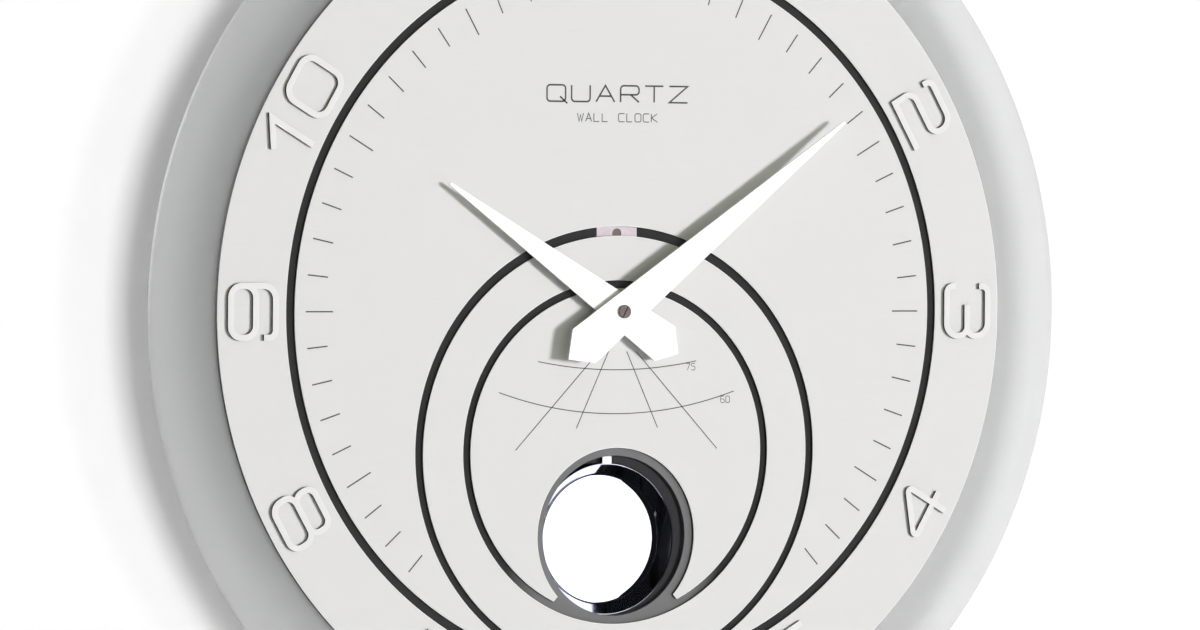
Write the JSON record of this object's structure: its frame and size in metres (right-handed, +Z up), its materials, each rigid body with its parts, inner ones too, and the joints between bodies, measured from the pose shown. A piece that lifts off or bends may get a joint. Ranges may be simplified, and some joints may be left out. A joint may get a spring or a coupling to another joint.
{
  "type": "pendulum wall clock",
  "caption": "Round wall clock with metal rings on a frosted acrylic disc, raised numerals, kite-shaped hands and a polished pendulum bob swinging behind a round window.",
  "frame": {"origin": "on the hands' axis, at the wall, on the flat back face of the rear pan", "axes": "+Z up, +X to the viewer's right, +Y into the wall; the dial faces -Y"},
  "size_m": [0.4499, 0.037, 0.45],
  "materials": {
    "frosted_acrylic": "satin frosted acrylic",
    "face_aluminium": "fine brushed, clear lacquered",
    "hand_white": "satin white",
    "adhesive": "matte black film",
    "dark_steel": "black oxide",
    "steel": "plain steel",
    "zinc_steel": "zinc plated",
    "brass": "plain brass",
    "bob_chrome": "mirror polished",
    "rod_chrome": "polished",
    "case_black": "fine moulded texture",
    "pan_black": "fine moulded texture",
    "gear_nylon": "natural nylon",
    "magnet": "nickel plated magnet",
    "copper_coil": "enamelled wire",
    "board_green": "solder mask",
    "battery_wrap": "plain sleeve",
    "seal_rubber": "matte"
  },
  "bodies": {
    "clock": {"acrylic_disc": "frosted_acrylic", "adhesive_film": "adhesive", "chapter_ring": "face_aluminium", "dial_plate": "face_aluminium", "pendulum_ring": "face_aluminium", "inner_disc": "face_aluminium", "link_tab": "face_aluminium", "link_screw": "dark_steel", "numeral_1": "face_aluminium", "numeral_2": "face_aluminium", "numeral_3": "face_aluminium", "numeral_4": "face_aluminium", "numeral_5": "face_aluminium", "numeral_6": "face_aluminium", "numeral_7": "face_aluminium", "numeral_8": "face_aluminium", "numeral_9": "face_aluminium", "numeral_10": "face_aluminium", "numeral_11": "face_aluminium", "numeral_12": "face_aluminium", "bush_nut": "brass", "rubber_washer": "seal_rubber", "movement_front": "case_black", "movement_back": "case_black", "train_plate": "brass", "stator": "steel", "motor_coil": "copper_coil", "circuit_board": "board_green", "battery": "battery_wrap", "battery_contacts": "zinc_steel", "drive_cover": "case_black", "drive_coil": "copper_coil", "pivot_pin": "steel", "pivot_clip": "steel", "rear_pan": "pan_black", "pan_screws": "steel", "hanger_plate": "zinc_steel", "hanger_rivets": "zinc_steel"},
    "minute": {"minute_hand": "hand_white", "minute_arbor": "steel", "hand_screw": "steel"},
    "hour": {"hour_hand": "hand_white", "hour_wheel": "gear_nylon"},
    "setting": {"minute_wheel": "gear_nylon", "setting_knob": "case_black"},
    "centre": {"center_wheel": "brass"},
    "third": {"third_wheel": "gear_nylon"},
    "fourth": {"fourth_wheel": "gear_nylon"},
    "intermediate": {"intermediate_wheel": "gear_nylon"},
    "rotor": {"rotor": "magnet"},
    "pendulum": {"pendulum_lever": "gear_nylon", "lever_magnet": "magnet", "pendulum_rod": "rod_chrome", "pendulum_bob": "bob_chrome"},
    "cover": {"battery_cover": "pan_black"}
  },
  "joints": [
    {"name": "minute_spin", "type": "hinge", "parent": "clock", "child": "minute", "pos_m": [0, 0, 0], "axis": [0, 1, 0], "continuous": true},
    {"name": "hour_spin", "type": "hinge", "parent": "clock", "child": "hour", "pos_m": [0, 0, 0], "axis": [0, 1, 0], "continuous": true},
    {"name": "setting_spin", "type": "hinge", "parent": "clock", "child": "setting", "pos_m": [0.012, 0, 0], "axis": [0, 1, 0], "continuous": true},
    {"name": "rotor_spin", "type": "hinge", "parent": "clock", "child": "rotor", "pos_m": [0.00743, 0, 0.01324], "axis": [0, 1, 0], "continuous": true},
    {"name": "intermediate_spin", "type": "hinge", "parent": "clock", "child": "intermediate", "pos_m": [0.00152, 0, 0.01429], "axis": [0, 1, 0], "continuous": true},
    {"name": "fourth_spin", "type": "hinge", "parent": "clock", "child": "fourth", "pos_m": [-0.00487, 0, 0.01196], "axis": [0, 1, 0], "continuous": true},
    {"name": "third_spin", "type": "hinge", "parent": "clock", "child": "third", "pos_m": [-0.00883, 0, 0.0051], "axis": [0, 1, 0], "continuous": true},
    {"name": "centre_spin", "type": "hinge", "parent": "clock", "child": "centre", "pos_m": [0, 0, 0], "axis": [0, 1, 0], "continuous": true},
    {"name": "pendulum_swing", "type": "hinge", "parent": "clock", "child": "pendulum", "pos_m": [0, 0, -0.033], "axis": [0, 1, 0], "range_deg": [-8, 8]},
    {"name": "cover_pull", "type": "slide", "parent": "clock", "child": "cover", "axis": [0, 1, 0], "range_m": [0, 0.03]}
  ],
  "couplings": [
    {"joint": "hour_spin", "follows": "minute_spin", "ratio": 0.083333},
    {"joint": "setting_spin", "follows": "minute_spin", "ratio": -0.33333},
    {"joint": "intermediate_spin", "follows": "rotor_spin", "ratio": -0.25},
    {"joint": "fourth_spin", "follows": "rotor_spin", "ratio": 0.033333},
    {"joint": "third_spin", "follows": "rotor_spin", "ratio": -0.0041667},
    {"joint": "centre_spin", "follows": "rotor_spin", "ratio": 0.00055556}
  ]
}
